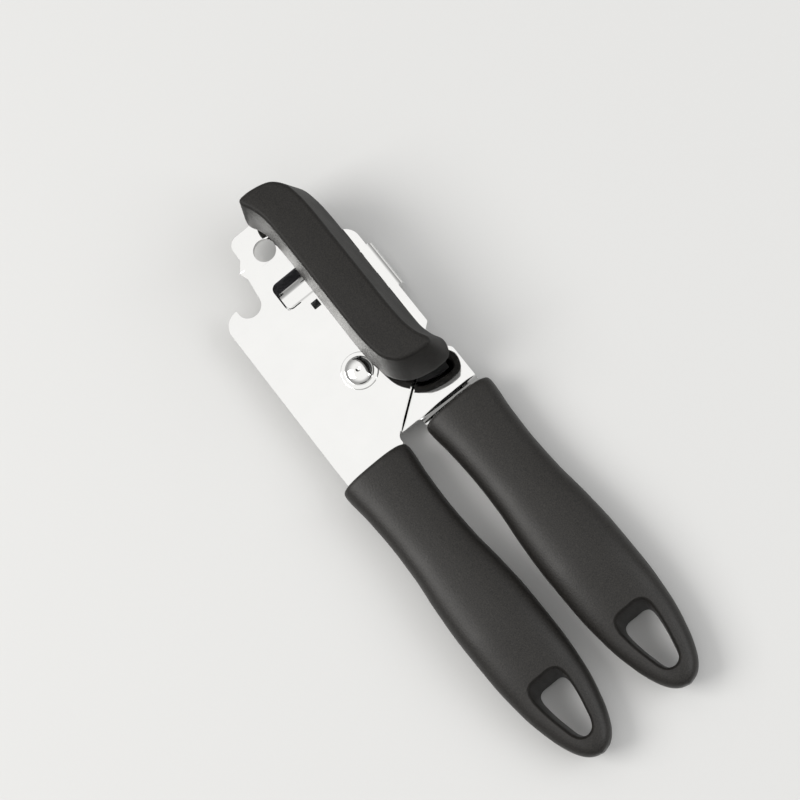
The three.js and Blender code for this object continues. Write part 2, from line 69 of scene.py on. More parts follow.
AXES = {joint["name"]: [value / MM for value in joint["pos_m"]] for joint in frame["joints"]}
PIVOT = Vector(AXES["handle_pivot"][:2])
CRANK = Vector(AXES["crank_turn"][:2])
CUTTER = Vector(AXES["cutter_spin"][:2])


def levels(node):
    """The lowest and highest Z of a CAD node, in millimetres."""
    low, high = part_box(node)
    return low.z / MM, high.z / MM


# Heights in millimetres.
FLANGE_FOOT, PLATE_FRONT = levels("upper_plate")
KNOB_BASE, KNOB_TOP = levels("knob_cover")
SHEET = 1.6  # thickness of both plates
PLATE_REAR = PLATE_FRONT - SHEET
REAR_PLATE_Z = 5.8  # the back of the rear plate's head
TANG_BACK = 7.7  # the back of both tangs, after the plates' joggles

# ------------------------------------------------------------------ sizes and colours


class OpenerSizes(bpy.types.PropertyGroup):
    """Sizes that change how finely the opener is finished, all in metres."""

    plate_edge: bpy.props.FloatProperty(
        name="Plate edge", description="Radius of the tumbled edges of both plates",
        default=0.00028, min=0.00005, max=0.0005, unit="LENGTH")
    knob_edge: bpy.props.FloatProperty(
        name="Knob edge", description="Radius round the top face of the knob",
        default=0.0011, min=0.0003, max=0.002, unit="LENGTH")
    washer_edge: bpy.props.FloatProperty(
        name="Washer edge", description="Edge radius of bushes, screws and the wheels' washers",
        default=0.00012, min=0.00002, max=0.0003, unit="LENGTH")
    pivot_edge: bpy.props.FloatProperty(
        name="Pivot washer edge", description="Width of the chamfer round the pivot's washers",
        default=0.00022, min=0.00002, max=0.00024, unit="LENGTH")
    grain_size: bpy.props.FloatProperty(
        name="Grain size", description="Distance between grains in the soft black skin",
        default=0.00035, min=0.0001, max=0.002, unit="LENGTH")
    floor_size: bpy.props.FloatProperty(
        name="Floor size", description="Length of each side of the floor",
        default=20.0, min=1.0, max=40.0, unit="LENGTH")


class OpenerColours(bpy.types.PropertyGroup):
    """Base colours of the finishes."""

    polished_steel: bpy.props.FloatVectorProperty(
        name="Polished steel", description="Colour of the plates and the rivet",
        default=(0.93, 0.93, 0.92), size=3, subtype="COLOR", min=0, max=1)
    zinc_steel: bpy.props.FloatVectorProperty(
        name="Zinc plate", description="Colour of the shaft, bush, nut and washers",
        default=(0.70, 0.71, 0.72), size=3, subtype="COLOR", min=0, max=1)
    hardened_steel: bpy.props.FloatVectorProperty(
        name="Hardened steel", description="Colour of the wheels and the cross pin",
        default=(0.50, 0.51, 0.53), size=3, subtype="COLOR", min=0, max=1)
    soft_black: bpy.props.FloatVectorProperty(
        name="Soft black", description="Colour of the grips and the knob",
        default=(0.0105, 0.0095, 0.0084), size=3, subtype="COLOR", min=0, max=1)
    hard_black: bpy.props.FloatVectorProperty(
        name="Hard black", description="Colour of the moulded inserts",
        default=(0.009, 0.009, 0.0095), size=3, subtype="COLOR", min=0, max=1)
    floor: bpy.props.FloatVectorProperty(
        name="Floor", description="Colour of the floor",
        default=(0.57, 0.57, 0.565), size=3, subtype="COLOR", min=0, max=1)


def sizes():
    return bpy.context.scene.opener_sizes


def colours():
    return bpy.context.scene.opener_colours


# ------------------------------------------------------------------ finishes


class Finish:
    """A material under construction: a Principled shader and short ways to add nodes to it."""

    def __init__(self, name, colour, roughness, metallic=0.0):
        self.material = bpy.data.materials.new(name)
        self.material.use_nodes = True
        self.tree = self.material.node_tree
        self.shader = self.tree.nodes["Principled BSDF"]
        self.set("Base Color", (*colour, 1.0))
        self.set("Roughness", roughness)
        self.set("Metallic", metallic)
        self.place = self.tree.nodes.new("ShaderNodeTexCoord").outputs["Object"]

    def set(self, socket, value):
        self.shader.inputs[socket].default_value = value

    def link(self, start, end):
        self.tree.links.new(start, end)

    def stretched(self, scale):
        """Object coordinates with each axis scaled."""
        node = self.tree.nodes.new("ShaderNodeMapping")
        node.inputs["Scale"].default_value = scale
        self.link(self.place, node.inputs["Vector"])
        return node.outputs["Vector"]

    def noise(self, scale, detail=3.0, roughness=0.55, place=None):
        node = self.tree.nodes.new("ShaderNodeTexNoise")
        node.inputs["Scale"].default_value = scale
        node.inputs["Detail"].default_value = detail
        node.inputs["Roughness"].default_value = roughness
        self.link(place or self.place, node.inputs["Vector"])
        return node.outputs["Fac"]

    def cells(self, scale):
        node = self.tree.nodes.new("ShaderNodeTexVoronoi")
        node.feature = "SMOOTH_F1"
        node.inputs["Scale"].default_value = scale
        node.inputs["Smoothness"].default_value = 0.6
        self.link(self.place, node.inputs["Vector"])
        return node.outputs["Distance"]

    def rings(self, scale, distortion):
        """Lines turned about the piece's own Z axis."""
        node = self.tree.nodes.new("ShaderNodeTexWave")
        node.wave_type = "RINGS"
        node.rings_direction = "Z"
        node.inputs["Scale"].default_value = scale
        node.inputs["Distortion"].default_value = distortion
        node.inputs["Detail"].default_value = 3.0
        self.link(self.place, node.inputs["Vector"])
        return node.outputs["Fac"]

    def ranged(self, value, low, high):
        node = self.tree.nodes.new("ShaderNodeMapRange")
        node.inputs["From Min"].default_value = 0.3
        node.inputs["From Max"].default_value = 0.7
        node.inputs["To Min"].default_value = low
        node.inputs["To Max"].default_value = high
        self.link(value, node.inputs["Value"])
        return node.outputs["Result"]

    def step(self, value, start, end):
        """From 0 to 1 as a value goes from start to end."""
        node = self.tree.nodes.new("ShaderNodeMapRange")
        node.inputs["From Min"].default_value = start
        node.inputs["From Max"].default_value = end
        self.link(value, node.inputs["Value"])
        return node.outputs["Result"]

    def between(self, factor, dark, light):
        """A mix of two colours, either of which may be another node's output."""
        node = self.tree.nodes.new("ShaderNodeMix")
        node.data_type = "RGBA"
        node.clamp_factor = True
        sockets = [socket for socket in node.inputs if socket.type == "RGBA"]
        for socket, value in zip(sockets, (dark, light)):
            if isinstance(value, tuple):
                socket.default_value = (*value, 1.0)
            else:
                self.link(value, socket)
        self.link(factor, node.inputs["Factor"])
        return next(socket for socket in node.outputs if socket.type == "RGBA")

    def bump(self, height, distance, strength, under=None):
        node = self.tree.nodes.new("ShaderNodeBump")
        node.inputs["Distance"].default_value = distance
        node.inputs["Strength"].default_value = strength
        self.link(height, node.inputs["Height"])
        if under:
            self.link(under, node.inputs["Normal"])
        return node.outputs["Normal"]

    def finished(self, colour=None, roughness=None, normal=None):
        if colour:
            self.link(colour, self.shader.inputs["Base Color"])
        if roughness:
            self.link(roughness, self.shader.inputs["Roughness"])
        if normal:
            self.link(normal, self.shader.inputs["Normal"])
        return self.material


def shade(colour, share):
    return tuple(value * share for value in colour)


# Painted shade: the rear plate's tip is painted near-black from this distance along Y, with a short
# fade. It stands for the shade under the lanced window.
PAINTED_SHADE_TIP_FROM = 0.033
PAINTED_SHADE_TIP_FADE = 0.0008
PAINTED_SHADE_TIP_COLOUR = (0.05, 0.05, 0.055)


def polished_steel(name, painted_shade_from=None):
    """Mirror-polished sheet with a trace of orange peel and of wiping marks.

    Past the given distance along Y, in metres from the rivet, the rear plate's tip is painted
    near-black and duller as painted shade. It stands for the shade seen through the lanced window.
    """
    colour = tuple(colours().polished_steel)
    finish = Finish(name, colour, 0.1, 1.0)
    cloud = finish.noise(90, 3)
    wiped = finish.noise(1.0, 4, place=finish.stretched((260, 2600, 900)))
    tint = finish.between(cloud, shade(colour, 0.95), colour)
    peel = finish.bump(finish.noise(180, 1), 0.00001, 0.12)
    marks = finish.bump(wiped, 0.000001, 0.1, under=peel)
    gloss = finish.ranged(wiped, 0.02, 0.06)
    # Painted shade: past the given distance the colour turns near-black and the gloss duller.
    if painted_shade_from:
        split = finish.tree.nodes.new("ShaderNodeSeparateXYZ")
        finish.link(finish.place, split.inputs["Vector"])
        dark = finish.step(split.outputs["Y"], painted_shade_from, painted_shade_from + PAINTED_SHADE_TIP_FADE)
        tint = finish.between(dark, tint, PAINTED_SHADE_TIP_COLOUR)
        gloss = finish.between(dark, gloss, (0.3, 0.3, 0.3))
    return finish.finished(tint, gloss, marks)


# The rear plate's polished finish, with its tip painted near-black as painted shade.
def rear_steel_with_painted_shade(name):
    return polished_steel(name, PAINTED_SHADE_TIP_FROM)


def turned_steel(name, colour, rough, lines=1400):
    """Steel turned on a lathe: fine rings round its own axis, a little dulled."""
    finish = Finish(name, colour, rough, 1.0)
    finish.set("Anisotropic", 0.3)
    cloud = finish.noise(400, 4)
    ring = finish.rings(lines, 1.5)
    tint = finish.between(cloud, shade(colour, 0.8), colour)
    normal = finish.bump(ring, 0.000015, 0.3)
    return finish.finished(tint, finish.ranged(cloud, rough * 0.8, rough * 1.25), normal)


def zinc_steel(name):
    return turned_steel(name, tuple(colours().zinc_steel), 0.27)


def hardened_steel(name):
    return turned_steel(name, tuple(colours().hardened_steel), 0.32, 2200)


def soft_black(name, share=1.0, gloss=0.33, dulled=0.0):
    """Soft-touch skin with a fine spark-eroded grain and faint handling marks."""
    colour = shade(tuple(colours().soft_black), share)
    finish = Finish(name, colour, 0.45)
    finish.set("Specular IOR Level", gloss)
    grain = 1.0 / sizes().grain_size
    fine = finish.noise(grain, 2, 0.6)
    cell = finish.cells(grain * 0.6)
    cloud = finish.noise(55, 4)
    tint = finish.between(finish.step(fine, 0.3, 0.7), shade(colour, 0.3), shade(colour, 2.0))
    first = finish.bump(cell, 0.00004, 0.7)
    second = finish.bump(fine, 0.00004, 0.7, under=first)
    return finish.finished(tint, finish.ranged(cloud, 0.4 + dulled, 0.5 + dulled), second)


def knob_black(name):
    """The grips' skin, moulded a little smoother and darker for the knob."""
    return soft_black(name, 0.8, 0.25, 0.1)


def hard_black(name):
    """Moulded hard plastic with a light satin."""
    colour = tuple(colours().hard_black)
    finish = Finish(name, colour, 0.36)
    cloud = finish.noise(120, 3)
    fine = finish.noise(2600, 2)
    tint = finish.between(cloud, shade(colour, 0.8), shade(colour, 1.3))
    normal = finish.bump(fine, 0.00002, 0.35)
    return finish.finished(tint, finish.ranged(cloud, 0.3, 0.42), normal)


FINISHES = {
    "polished_steel": polished_steel,
    "rear_steel_with_painted_shade": rear_steel_with_painted_shade,
    "zinc_steel": zinc_steel,
    "hardened_steel": hardened_steel,
    "soft_black": soft_black,
    "knob_black": knob_black,
    "hard_black": hard_black,
}


def finish_of(slot):
    """The material of a slot, made the first time that it is asked for."""
    name = f"{slot}_finish"
    return bpy.data.materials.get(name) or FINISHES[slot](name)


# ------------------------------------------------------------------ making pieces


def linked(name, bm):
    """An object from a bmesh in millimetres."""
    bmesh.ops.scale(bm, vec=(MM, MM, MM), verts=bm.verts)
    bmesh.ops.recalc_face_normals(bm, faces=bm.faces)
    mesh = bpy.data.meshes.new(name)
    bm.to_mesh(mesh)
    bm.free()
    piece = bpy.data.objects.new(name, mesh)
    bpy.context.scene.collection.objects.link(piece)
    return piece


def settled(piece):
    """The piece with its modifiers applied."""
    bpy.context.view_layer.update()
    shown = piece.evaluated_get(bpy.context.evaluated_depsgraph_get())
    mesh = bpy.data.meshes.new_from_object(shown)
    piece.modifiers.clear()
    piece.data = mesh
    return piece


def carved(piece, *cutters):
    """The piece with the cutters' space taken out of it."""
    for cutter in cutters:
        modifier = piece.modifiers.new("carve", "BOOLEAN")
        modifier.operation = "DIFFERENCE"
        modifier.solver = "EXACT"
        modifier.object = cutter
        settled(piece)
        bpy.data.objects.remove(cutter)
    return piece


def finished(piece, slot, body, node, at, turn=0.0, edge=0.0, segments=3, sharp=32, skin=None):
    """Puts a piece in its place, rounds its edges, gives it its finish and ties it to the frame.

    It stands for one CAD node. skin names another finish than the slot's own.
    """
    if not piece.data.polygons:
        raise RuntimeError(f"{piece.name} has no faces")
    piece.location = (at[0] * MM, at[1] * MM, 0)
    piece.rotation_euler = (0, 0, turn)
    if edge:
        modifier = piece.modifiers.new("edge", "BEVEL")
        modifier.width = edge
        modifier.segments = segments
        modifier.limit_method = "ANGLE"
        modifier.angle_limit = math.radians(30)
        modifier.use_clamp_overlap = True
        settled(piece)
    piece.data.materials.clear()
    piece.data.materials.append(finish_of(skin or slot))
    piece.data.polygons.foreach_set("use_smooth", [True] * len(piece.data.polygons))
    piece.data.set_sharp_from_angle(angle=math.radians(sharp))
    if edge:
        modifier = piece.modifiers.new("flat_faces", "WEIGHTED_NORMAL")
        modifier.weight = 100
        modifier.keep_sharp = True
    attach(piece, body)
    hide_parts(node)


# ------------------------------------------------------------------ shapes


def rounded(corners, step=7.5):
    """An outline through corners [x, y, radius], each rounded with an arc."""
    points = []
    for index, (x, y, radius) in enumerate(corners):
        corner = Vector((x, y))
        before = (Vector(corners[index - 1][:2]) - corner).normalized()
        after = (Vector(corners[(index + 1) % len(corners)][:2]) - corner).normalized()
        if radius == 0:
            points.append(corner)
            continue
        half = math.acos(max(-1.0, min(1.0, before.dot(after)))) / 2
        reach = radius / math.tan(half)
        centre = corner + (before + after).normalized() * (radius / math.sin(half))
        start = corner + before * reach - centre
        sweep = start.angle_signed(corner + after * reach - centre)
        count = max(2, round(abs(math.degrees(sweep)) / step))
        for part in range(count + 1):
            arm = start.copy()
            arm.rotate(Matrix.Rotation(-sweep * part / count, 2))
            points.append(centre + arm)
    return points


def circle(x, y, radius, count=72):
    turns = [2 * math.pi * index / count for index in range(count)]
    return [Vector((x + radius * math.cos(turn), y + radius * math.sin(turn))) for turn in turns]


def slab(outline, holes, low, high):
    """A flat slab with holes, as a bmesh. Triangles without area are left out."""
    loops = [outline, *holes]
    flat = [point for loop in loops for point in loop]
    faces = tessellate_polygon([[(p.x, p.y, 0) for p in loop] for loop in loops])
    bm = bmesh.new()
    rows = [[bm.verts.new((p.x, p.y, z)) for p in flat] for z in (low, high)]
    for face in faces:
        corners = list(face)
        first, second, third = (flat[index] for index in corners)
        if (second - first).cross(third - first) == 0:
            continue
        bm.faces.new([rows[0][index] for index in reversed(corners)])
        bm.faces.new([rows[1][index] for index in corners])
    start = 0
    for loop in loops:
        for index in range(len(loop)):
            a = start + index
            b = start + (index + 1) % len(loop)
            bm.faces.new((rows[0][a], rows[0][b], rows[1][b], rows[1][a]))
        start += len(loop)
    return bm


def sliced(bm, axis, places):
    """Cuts a mesh into strips across one axis, so that it can be bent there."""
    normal = Vector((axis == "x", axis == "y", 0))
    for place in places:
        geometry = bm.verts[:] + bm.edges[:] + bm.faces[:]
        bmesh.ops.bisect_plane(
            bm, geom=geometry, dist=1e-5, plane_co=normal * place, plane_no=normal)


def lofted(loops):
    """A skin through equal loops of points, capped at both ends."""
    bm = bmesh.new()
    rows = [[bm.verts.new(point) for point in loop] for loop in loops]
    count = len(rows[0])
    for low, high in zip(rows, rows[1:]):
        for index in range(count):
            following = (index + 1) % count
            bm.faces.new((low[index], low[following], high[following], high[index]))
    bm.faces.new(list(reversed(rows[0])))
    bm.faces.new(rows[-1])
    return bm


def turned(profile, sides=96):
    """A solid turned about Z from [radius, z] points; a profile off the axis makes a ring."""
    bm = bmesh.new()
    rows = []
    for radius, z in profile:
        if radius == 0:
            rows.append([bm.verts.new((0, 0, z))])
        else:
            rows.append([bm.verts.new((p.x, p.y, z)) for p in circle(0, 0, radius, sides)])
    pairs = list(zip(rows, rows[1:]))
    if profile[0][0] > 0:
        pairs.append((rows[-1], rows[0]))
    for low, high in pairs:
        for index in range(sides):
            following = (index + 1) % sides
            corners = [low[index % len(low)], low[following % len(low)],
                       high[following % len(high)], high[index % len(high)]]
            distinct = list(dict.fromkeys(corners))
            if len(distinct) > 2:
                bm.faces.new(distinct)
    return bm


def ring(inner, outer, low, high):
    return turned([[inner, low], [outer, low], [outer, high], [inner, high]])


def smooth_value(table, place):
    """A value read from [place, value] points along a curve that passes through all of them."""
    if place <= table[0][0]:
        return table[0][1]
    if place >= table[-1][0]:
        return table[-1][1]
    index = next(i for i in range(1, len(table)) if table[i][0] >= place)

    def slope(i):
        if i in (0, len(table) - 1):
            j = min(max(i, 1), len(table) - 1)
            return (table[j][1] - table[j - 1][1]) / (table[j][0] - table[j - 1][0])
        left = (table[i][1] - table[i - 1][1]) / (table[i][0] - table[i - 1][0])
        right = (table[i + 1][1] - table[i][1]) / (table[i + 1][0] - table[i][0])
        return 0.0 if left * right <= 0 else 2 * left * right / (left + right)

    (x0, y0), (x1, y1) = table[index - 1], table[index]
    span = x1 - x0
    t = (place - x0) / span
    rise = y0 * (1 + 2 * t) * (1 - t) ** 2 + y1 * t * t * (3 - 2 * t)
    return rise + span * (slope(index - 1) * t * (1 - t) ** 2 - slope(index) * t * t * (1 - t))


def centripetal(points, samples_each=24):
    """A closed curve through all the points, finely sampled."""
    count = len(points)
    curve = []
    for index in range(count):
        p = [points[(index + step) % count] for step in (-1, 0, 1, 2)]
        knots = [0.0]
        for first, second in zip(p, p[1:]):
            knots.append(knots[-1] + max(1e-6, (second - first).length) ** 0.5)
        for part in range(samples_each):
            t = knots[1] + (knots[2] - knots[1]) * part / samples_each

            def mixed(a, b, ta, tb):
                return a * ((tb - t) / (tb - ta)) + b * ((t - ta) / (tb - ta))

            a1 = mixed(p[0], p[1], knots[0], knots[1])
            a2 = mixed(p[1], p[2], knots[1], knots[2])
            a3 = mixed(p[2], p[3], knots[2], knots[3])
            b1 = mixed(a1, a2, knots[0], knots[2])
            b2 = mixed(a2, a3, knots[1], knots[3])
            curve.append(mixed(b1, b2, knots[1], knots[2]))
    return curve


def evenly(curve, count):
    """The same closed curve, as count points an equal distance apart."""
    closed = curve + [curve[0]]
    reach = [0.0]
    for first, second in zip(closed, closed[1:]):
        reach.append(reach[-1] + (second - first).length)
    points, place = [], 0
    for index in range(count):
        goal = reach[-1] * index / count
        while reach[place + 1] < goal:
            place += 1
        share = (goal - reach[place]) / (reach[place + 1] - reach[place])
        points.append(closed[place].lerp(closed[place + 1], share))
    return points


def pushed(points, distance):
    """A closed outline with every point moved outwards."""
    moved = []
    for index, point in enumerate(points):
        along = points[(index + 1) % len(points)] - points[index - 1]
        moved.append(point + Vector((along.y, -along.x)).normalized() * distance)
    return moved


def eased(y, start, end):
    """From 0 to 1 as y goes from start to end, with soft bends at both."""
    t = max(0.0, min(1.0, (y - start) / (end - start)))
    return t * t * (3 - 2 * t)


def spread(start, end, count):
    return [start + (end - start) * index / count for index in range(count + 1)]


# ------------------------------------------------------------------ plates

# Millimetres from the rivet's axis. Corners are [x, y, radius].
GRIP_START = -28.0
GRIP_LEAN = math.radians(1.1)
GRIP_X = {"left": -15.6, "right": 18.0}
TANG = {"half": 8.0, "end": -80.0, "shoulder": -27.5}
TONGUE = {"left": -6.4, "right": 9.0, "foot": 30.5, "tip": 38.0, "top": 41.2, "slit": 0.5}
TONGUE_FOOT = {"bend": 1.2, "drop": 0.25}
TONGUE_CREST = {"start": 35.2, "past_tip": 0.6, "drop": 1.3}
FLANGE = {"low": 14.5, "high": 31.8, "bend": 2.4, "outer": 28.7}
FRONT_EDGE = 26.9
FRONT_JOGGLE = (-25.0, -20.8)
FRONT_LOWER_CORNERS = [
    (-3.3, TANG["shoulder"], 0.6), (-3.3, -25, 2.5), (0.5, -21.9, 3), (24.5, -3.2, 1),
    (FRONT_EDGE, -1.2, 1),
]
FRONT_HEAD_CORNERS = [
    (FRONT_EDGE, 41.3, 6), (15.5, 42.6, 5), (9.2, 52, 8), (9.2, 62.6, 3.5),
    (-8.5, 62.6, 3.5), (-8.5, 55.2, 1.2), (-11.3, 51.6, 0.6), (-10.3, 48.3, 0.8),
    (-11.6, 36.9, 4.1), (-19.9, 36.9, 4.1), (-19.7, 42.2, 0.3), (-25.8, 42.2, 5.6),
    (-25.6, TANG["shoulder"], 0.6),
]
RIVET_BORE = 3.0
BUSH_BORE = 4.8
HEAD_HOLE = (-0.2, 52.5, 3.9)
SQUARE_HOLE = {"x": 2.2, "y": 26.9, "half": 1.35, "corner": 0.25}
REAR_JOGGLE = (-27.6, -23.6)
REAR_CORNERS = [
    (28, TANG["shoulder"], 0.6), (28, -12, 2.5), (20.5, -5.5, 4), (13, 3, 8), (7.4, 13, 6),
    (7.4, 36, 6), (5.5, 44.2, 3), (-7.5, 44.2, 3), (-9, 30, 6), (-9.5, 14, 6), (-15, 0, 12),
    (-11, -16, 8), (-2, -23.9, 3), (5.8, -23.9, 1.5), (5.8, TANG["shoulder"], 0.6),
]
REAR_TIP = {"start": 32.5, "cut": 44, "end": 44.5, "drop": 2.1}
SCREW_BORE = 2.4
SIGHT_HOLE = (2.4, 27.8, 1.9)


def tang_corners(centre):
    """The tang inside a grip, leaned with the grip about its collar."""
    half, end, shoulder = TANG["half"], TANG["end"], TANG["shoulder"]
    root = Vector((centre, GRIP_START))
    corners = []
    tang = ((-half, shoulder, 0), (-half, end, 4), (half, end, 4), (half, shoulder, 0))
    for x, y, radius in tang:
        arm = Vector((centre + x, y)) - root
        arm.rotate(Matrix.Rotation(GRIP_LEAN, 2))
        corners.append((*(root + arm), radius))
    return corners


def flange_outline():
    """The flange as it lies before it is folded: its tab stands out past the plate's edge."""
    bend = FLANGE["outer"] - FLANGE["bend"]
    arc = (FLANGE["bend"] - SHEET / 2) * math.pi / 2
    drop = PLATE_FRONT - FLANGE["bend"] - FLANGE_FOOT
    return bend, arc, bend + arc + drop


def folded_flange(bm):
    """Bends the tab down round an arc, then straight down to its foot."""
    bend, arc, _ = flange_outline()
    middle = FLANGE["bend"] - SHEET / 2
    axis = PLATE_FRONT - FLANGE["bend"]
    for vert in bm.verts:
        along = vert.co.x - bend
        if along <= 0 or not FLANGE["low"] - 0.01 < vert.co.y < FLANGE["high"] + 0.01:
            continue
        reach = vert.co.z - axis
        angle = min(along, arc) / middle
        vert.co.x = bend + reach * math.sin(angle)
        vert.co.z = axis + reach * math.cos(angle) - max(0.0, along - arc)


def front_outline():
    tab = flange_outline()[2]
    low, high = FLANGE["low"], FLANGE["high"]
    return rounded([
        *tang_corners(GRIP_X["left"]), *FRONT_LOWER_CORNERS,
        (FRONT_EDGE, low, 0.4), (tab, low, 0.8), (tab, high, 0.8), (FRONT_EDGE, high, 0.4),
        *FRONT_HEAD_CORNERS,
    ])


def window_outline():
    """The opening round the lanced tongue, with a slit on each side of it."""
    left, right, slit = TONGUE["left"], TONGUE["right"], TONGUE["slit"]
    foot, top, tip = TONGUE["foot"], TONGUE["top"], TONGUE["tip"]
    step_x, step_y = left + 5.2, foot + 0.4
    return rounded([
        (left, foot, 2.4), (left, top, 2.3), (right, top, 1.5),
        (right, foot, 0.24), (right - slit, foot, 0.24), (right - slit, tip, 1),
        (left + slit, tip, 0.8), (left + slit, step_y, 2.0), (step_x, step_y, 0.15),
        (step_x, foot, 0.15),
    ])


def square_outline():
    """The small square hole below the window."""
    half, corner = SQUARE_HOLE["half"], SQUARE_HOLE["corner"]
    signs = ((-1, -1), (1, -1), (1, 1), (-1, 1))
    return rounded([
        (SQUARE_HOLE["x"] + x * half, SQUARE_HOLE["y"] + y * half, corner) for x, y in signs
    ])


def bent_tongue(vert):
    """How far back the tongue is pressed at a vertex: a little at its foot, more at its tip."""
    x, y, _ = vert.co
    foot, tip, slit = TONGUE["foot"], TONGUE["tip"], TONGUE["slit"]
    beside = not TONGUE["left"] + slit - 0.05 < x < TONGUE["right"] - slit + 0.05
    if beside or not foot < y < tip + 0.05:
        return 0.0
    at_foot = TONGUE_FOOT["drop"] * eased(y, foot, foot + TONGUE_FOOT["bend"])
    crest_end = tip + TONGUE_CREST["past_tip"]
    return at_foot + TONGUE_CREST["drop"] * eased(y, TONGUE_CREST["start"], crest_end)


def front_plate_mesh():
    crank = CRANK - PIVOT
    holes = [circle(0, 0, RIVET_BORE), circle(*HEAD_HOLE, 96), circle(*crank, BUSH_BORE),
             window_outline(), square_outline()]
    bm = slab(front_outline(), holes, PLATE_REAR, PLATE_FRONT)
    bend, arc, _ = flange_outline()
    foot, tip = TONGUE["foot"], TONGUE["tip"]
    sliced(bm, "x", spread(bend, bend + arc, 8))
    sliced(bm, "y", spread(*FRONT_JOGGLE, 10))
    sliced(bm, "y", spread(foot, foot + TONGUE_FOOT["bend"], 4) + spread(33.5, tip - 0.02, 10))
    folded_flange(bm)
    for vert in bm.verts:
        vert.co.z += (TANG_BACK - PLATE_REAR) * (1 - eased(vert.co.y, *FRONT_JOGGLE))
        vert.co.z -= bent_tongue(vert)
    return bm


def rear_plate_mesh():
    outline = rounded([*tang_corners(GRIP_X["right"]), *REAR_CORNERS])
    cutter = CUTTER - PIVOT
    holes = [circle(0, 0, RIVET_BORE), circle(*cutter, SCREW_BORE), circle(*SIGHT_HOLE)]
    bm = slab(outline, holes, REAR_PLATE_Z, REAR_PLATE_Z + SHEET)
    tip_start, tip_end = REAR_TIP["start"], REAR_TIP["end"]
    sliced(bm, "y", spread(*REAR_JOGGLE, 10) + spread(tip_start, REAR_TIP["cut"], 16))
    for vert in bm.verts:
        rise = (TANG_BACK - REAR_PLATE_Z) * (1 - eased(vert.co.y, *REAR_JOGGLE))
        vert.co.z += rise - REAR_TIP["drop"] * eased(vert.co.y, tip_start, tip_end)
    return bm


# ------------------------------------------------------------------ grips

# Half the width and half the depth of a grip, against the distance from its collar.
GRIP_SIDE = [
    (0, 11.8), (0.5, 12.6), (1.8, 12.9), (12, 12), (24, 11.55), (36, 11.9), (48, 13),
    (62, 13.7), (76, 13.6), (90, 12.5), (101, 10.2), (108, 7.6), (111.6, 5.2), (113.4, 2.7),
    (113.9, 0.7),
]
GRIP_DEPTH = [
    (0, 7.1), (0.5, 7.65), (1.8, 7.9), (24, 7.7), (50, 8.6), (64, 8.8), (78, 7.9), (91, 6.4),
    (102, 5.5), (110, 4.9), (113, 3.8), (113.9, 2.6),
]
GRIP_LENGTH = 113.9
GRIP_MIDDLE = 8.5
GRIP_WALL = 2.2
GRIP_ROUNDING = 2.7  # power of the superellipse: 2 is an ellipse, more is squarer
GRIP_SIDES = 96
GRIP_LIP = 1.9
INSERT_LENGTH = 80.0
INSERT_START = 0.5
INSERT_SIDES = 48
INSERT_GAP = 0.3
INSERT_EDGE = 0.00015

# One side of the hang hole from its tip to its top, measured from the rivet. Its rims are pairs of
# (outwards from that outline, above the skin), and its back is smaller by the draft.
HANG_HALF = [
    (0, -135.1), (2.0, -134.4), (3.3, -132.4), (4.2, -129), (5.2, -124.5), (5.9, -119.6),
    (6.0, -116.4), (5.3, -114.4), (3.7, -113.5),
]
HANG_TOP = (0, -113.4)
HANG_BACK = [(1.3, 2.2), (0.5, 0.3), (0.0, -0.4), (-0.3, -1.3)]
HANG_FRONT = [(0.08, -1.7), (0.3, -0.85), (0.75, -0.25), (1.35, 0.35), (2.6, 2.2)]
HANG_DRAFT = 0.92
HANG_SAMPLES = 72


def grip_section(distance, inset, sides):
    """One section of a grip, a superellipse with a flat where it rests on the floor."""
    half_width = smooth_value(GRIP_SIDE, distance) - inset
    half_depth = smooth_value(GRIP_DEPTH, distance) - inset
    power = 2 / GRIP_ROUNDING
    points = []
    for index in range(sides):
        angle = 2 * math.pi * index / sides
        across, up = math.cos(angle), math.sin(angle)
        x = half_width * math.copysign(abs(across) ** power, across)
        z = GRIP_MIDDLE + half_depth * math.copysign(abs(up) ** power, up)
        points.append((x, -distance, max(z, 0.0)))
    return points


def grip_stations(start, end):
    """Where a grip's sections lie, closest together at the collar's lip and round the tip."""
    lip = [0, 0.08, 0.2, 0.4, 0.7, 1.1, 1.5, GRIP_LIP]
    body = [2.4 + 1.6 * index for index in range(61)]
    tip = [GRIP_LENGTH - 13.5 * (1 - math.sin(math.pi / 2 * index / 16)) for index in range(17)]
    places = sorted(set(place for place in lip + body + tip if start < place < end))
    return [start, *places, end]


def grip_top(x, distance):
    """Height of a grip's skin above its middle plane."""
    half_width = smooth_value(GRIP_SIDE, distance)
    share = min(0.999, abs(x) / half_width)
    fall = (1 - share ** GRIP_ROUNDING) ** (1 / GRIP_ROUNDING)
    return smooth_value(GRIP_DEPTH, distance) * fall


def hang_outline(margin, draft):
    """The hang hole's outline, shrunk towards its tip by draft and pushed outwards by margin."""
    tip = Vector(HANG_HALF[0])
    mirrored = [(-x, y) for x, y in HANG_HALF[:0:-1]]
    corners = [Vector(corner) for corner in HANG_HALF + [HANG_TOP] + mirrored]
    controls = [(corner - tip) * draft + tip for corner in corners]
    return pushed(evenly(centripetal(controls), HANG_SAMPLES), margin)


def hang_cutter():
    """Opens the hang hole: a soft rim in front, a tighter one behind, and a wall that narrows."""
    loops = []
    for side, rim, draft in ((-1, HANG_BACK, HANG_DRAFT), (1, HANG_FRONT, 1.0)):
        for margin, rise in rim:
            loop = []
            for point in hang_outline(margin, draft):
                distance = GRIP_START - point.y
                height = grip_top(point.x, min(distance, 112)) + rise
                loop.append((point.x, point.y - GRIP_START, GRIP_MIDDLE + side * height))
            loops.append(loop)
    return linked("hang_cutter", lofted(loops))


